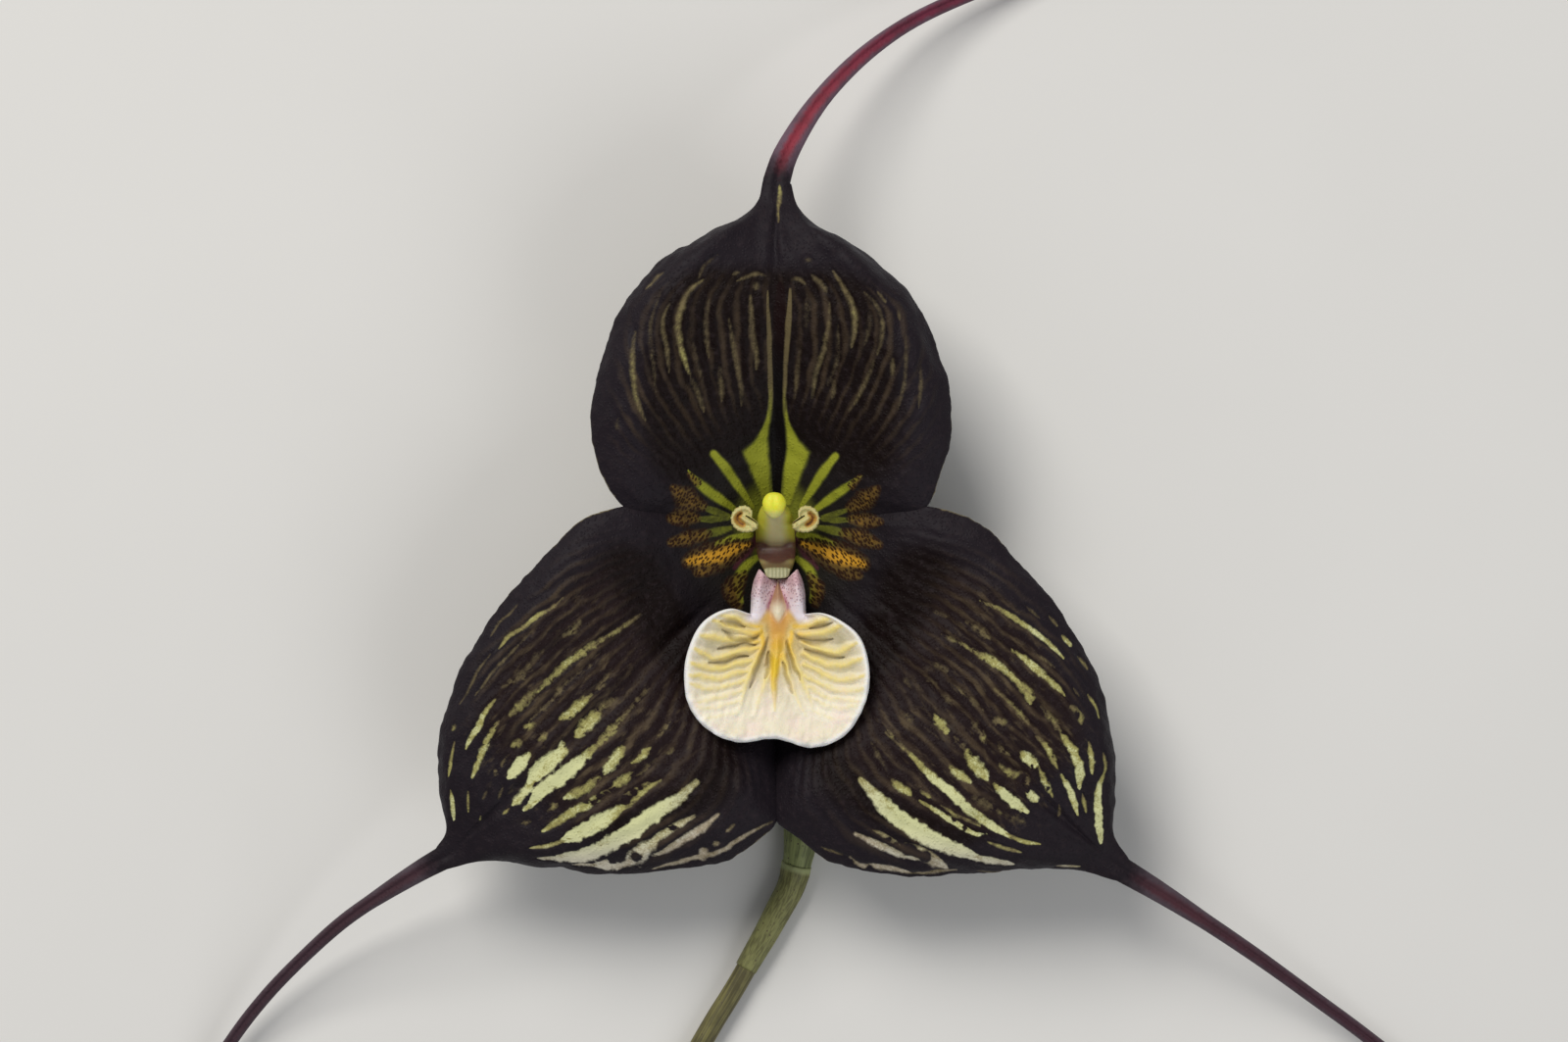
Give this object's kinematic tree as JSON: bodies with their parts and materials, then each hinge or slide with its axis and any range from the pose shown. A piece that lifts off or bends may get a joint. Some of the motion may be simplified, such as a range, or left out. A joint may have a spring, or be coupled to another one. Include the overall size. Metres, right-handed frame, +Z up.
{
  "type": "monkey face orchid flower",
  "caption": "Picked orchid bloom with three long-tailed dark striped sepals, small petals, a saucer-shaped lip and a cut stalk, lying face up.",
  "frame": {"origin": "on the surface the bloom lies on, in the middle of the flat spot under the ovary's knee", "axes": "+Z up, out of the bloom's face; +Y towards the tail of the dorsal sepal; +X to the right seen face on"},
  "size_m": [0.1417, 0.1592, 0.0168],
  "materials": {
    "sepal": "dark maroon-brown sepal tissue with pale veins, velvety, softly glossy where it turns back",
    "petal": "waxy cream-yellow, warty rim, orange-brown inside",
    "lip": "waxy cream-white, apricot ridges, pinkish claw",
    "column": "translucent greenish-yellow, purple towards the foot",
    "anther": "shiny bright yellow",
    "ovary": "ribbed grey-green",
    "bract": "thin pale green sheath, dry at its mouth",
    "stalk": "smooth olive-green flushed brown"
  },
  "bodies": {
    "root": {"dorsal_sepal": "sepal", "left_lateral_sepal": "sepal", "right_lateral_sepal": "sepal", "left_petal": "petal", "right_petal": "petal", "lip": "lip", "column": "column", "anther_cap": "anther", "ovary": "ovary", "floral_bract": "bract", "flower_stalk": "stalk"}
  },
  "joints": []
}
